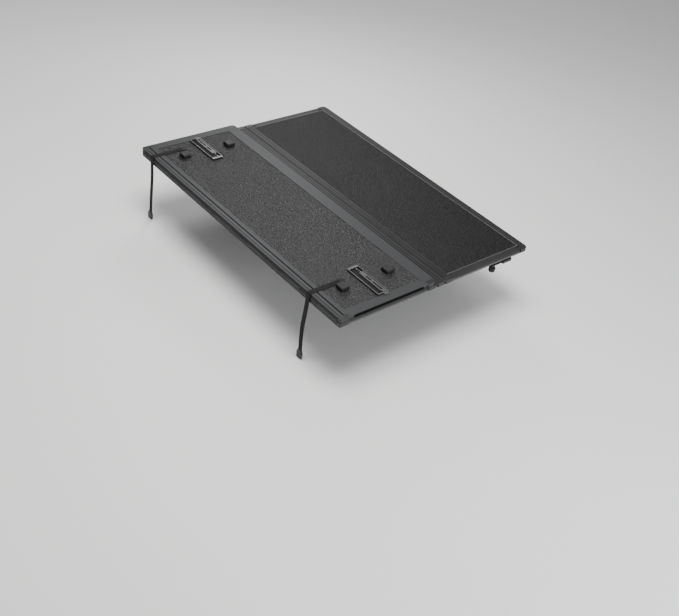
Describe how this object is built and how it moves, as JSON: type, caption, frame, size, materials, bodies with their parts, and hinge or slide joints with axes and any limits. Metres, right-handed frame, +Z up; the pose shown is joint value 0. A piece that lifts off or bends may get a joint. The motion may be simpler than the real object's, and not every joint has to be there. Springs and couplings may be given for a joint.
{
  "type": "hard folding tonneau cover",
  "caption": "Hard folding cover for a pickup bed: flat sandwich panels in black frames, joined by hinges, with slide latches, straps and clamps.",
  "frame": {"origin": "middle of the underside of the cab-end seal, in the plane of the bed rails", "axes": "+X across the bed, +Y towards the cab, +Z up; the rear panel is folded onto the middle one"},
  "size_m": [1.64, 1.2416, 0.3931],
  "materials": {
    "frame": "extruded, satin black powder coat",
    "cap": "moulded black nylon, satin",
    "top_skin": "sheet with a black pebble-textured coating",
    "bottom_skin": "sheet with a black fine-textured coating",
    "core": "rigid foam board",
    "seal": "black sponge rubber",
    "steel": "zinc plated",
    "bumper": "moulded black rubber",
    "screw": "black zinc",
    "latch_tray": "grey powder coat on pressed steel",
    "latch_slide": "dark grey satin coat on die casting",
    "webbing": "woven black polypropylene webbing",
    "buckle": "moulded black acetal",
    "clamp": "mill finish, slightly brushed",
    "knob": "moulded black nylon"
  },
  "bodies": {
    "front_panel": {"cab_seal": "seal", "clamp_bracket_left": "clamp", "clamp_bracket_right": "clamp", "front_hinge_pin": "steel", "front_panel_bottom_skin": "bottom_skin", "front_panel_cab_rail": "frame", "front_panel_core": "core", "front_panel_corner_caps": "cap", "front_panel_side_rail_left": "frame", "front_panel_side_rail_right": "frame", "front_panel_tail_rail": "frame", "front_panel_top_skin": "top_skin", "front_side_seals": "seal"},
    "hinge_link": {"hinge_link": "frame", "link_end_caps": "cap", "link_seal_strips": "seal"},
    "middle_panel": {"middle_hinge_pin": "steel", "middle_panel_bottom_skin": "bottom_skin", "middle_panel_cab_rail": "frame", "middle_panel_core": "core", "middle_panel_corner_caps": "cap", "middle_panel_side_rail_left": "frame", "middle_panel_side_rail_right": "frame", "middle_panel_tail_rail": "frame", "middle_panel_top_skin": "top_skin", "middle_side_seals": "seal", "rear_hinge_pin": "steel"},
    "rear_panel": {"latch_guide_studs": "screw", "latch_spring_left": "steel", "latch_spring_right": "steel", "latch_tray_left": "latch_tray", "latch_tray_right": "latch_tray", "rear_bumpers": "bumper", "rear_panel_bottom_skin": "bottom_skin", "rear_panel_cab_rail": "frame", "rear_panel_core": "core", "rear_panel_corner_caps": "cap", "rear_panel_side_rail_left": "frame", "rear_panel_side_rail_right": "frame", "rear_panel_tail_rail": "frame", "rear_panel_top_skin": "top_skin", "strap_anchor_plates": "screw", "strap_top_left": "webbing", "strap_top_right": "webbing"},
    "left_latch_slide": {"latch_slide_left": "latch_slide"},
    "right_latch_slide": {"latch_slide_right": "latch_slide"},
    "left_strap_tail": {"strap_buckle_left": "buckle", "strap_tail_left": "webbing"},
    "right_strap_tail": {"strap_buckle_right": "buckle", "strap_tail_right": "webbing"},
    "left_clamp_jaw": {"clamp_jaw_left": "clamp"},
    "right_clamp_jaw": {"clamp_jaw_right": "clamp"},
    "left_clamp_screw": {"clamp_knob_left": "knob", "clamp_screw_left": "steel"},
    "right_clamp_screw": {"clamp_knob_right": "knob", "clamp_screw_right": "steel"}
  },
  "joints": [
    {"name": "link_fold", "type": "hinge", "parent": "front_panel", "child": "hinge_link", "pos_m": [0, -0.564, 0.0225], "axis": [-1, 0, 0], "range_deg": [0, 90]},
    {"name": "middle_fold", "type": "hinge", "parent": "hinge_link", "child": "middle_panel", "pos_m": [0, -0.6166, 0.0225], "axis": [-1, 0, 0], "range_deg": [0, 90]},
    {"name": "rear_fold", "type": "hinge", "parent": "middle_panel", "child": "rear_panel", "pos_m": [0, -1.21035, 0.028], "axis": [1, 0, 0], "range_deg": [0, 180]},
    {"name": "left_strap_swing", "type": "hinge", "parent": "rear_panel", "child": "left_strap_tail", "pos_m": [-0.712, -1.2161, 0.0523], "axis": [1, 0, 0], "range_deg": [-180, 0]},
    {"name": "right_strap_swing", "type": "hinge", "parent": "rear_panel", "child": "right_strap_tail", "pos_m": [0.6, -1.2161, 0.0523], "axis": [1, 0, 0], "range_deg": [-180, 0]},
    {"name": "left_latch_slide", "type": "slide", "parent": "rear_panel", "child": "left_latch_slide", "axis": [1, 0, 0], "range_m": [0, 0.014], "stiffness_N_per_m": 300, "springref_m": -0.01, "deforming": ["latch_spring_left"]},
    {"name": "right_latch_slide", "type": "slide", "parent": "rear_panel", "child": "right_latch_slide", "axis": [-1, 0, 0], "range_m": [0, 0.014], "stiffness_N_per_m": 300, "springref_m": -0.01, "deforming": ["latch_spring_right"]},
    {"name": "left_clamp_spin", "type": "hinge", "parent": "front_panel", "child": "left_clamp_screw", "pos_m": [-0.723, -0.09, 0], "axis": [0, 0, 1], "range_deg": [-576, 2880]},
    {"name": "left_clamp_slide", "type": "slide", "parent": "front_panel", "child": "left_clamp_jaw", "axis": [0, 0, -1], "range_m": [-0.008, 0.04]},
    {"name": "right_clamp_spin", "type": "hinge", "parent": "front_panel", "child": "right_clamp_screw", "pos_m": [0.723, -0.09, 0], "axis": [0, 0, 1], "range_deg": [-576, 2880]},
    {"name": "right_clamp_slide", "type": "slide", "parent": "front_panel", "child": "right_clamp_jaw", "axis": [0, 0, -1], "range_m": [-0.008, 0.04]}
  ],
  "couplings": [
    {"joint": "left_strap_swing", "follows": "rear_fold", "ratio": -1},
    {"joint": "right_strap_swing", "follows": "rear_fold", "ratio": -1},
    {"joint": "left_clamp_spin", "follows": "left_clamp_slide", "rad_per_m": 1256.6},
    {"joint": "right_clamp_spin", "follows": "right_clamp_slide", "rad_per_m": 1256.6}
  ]
}
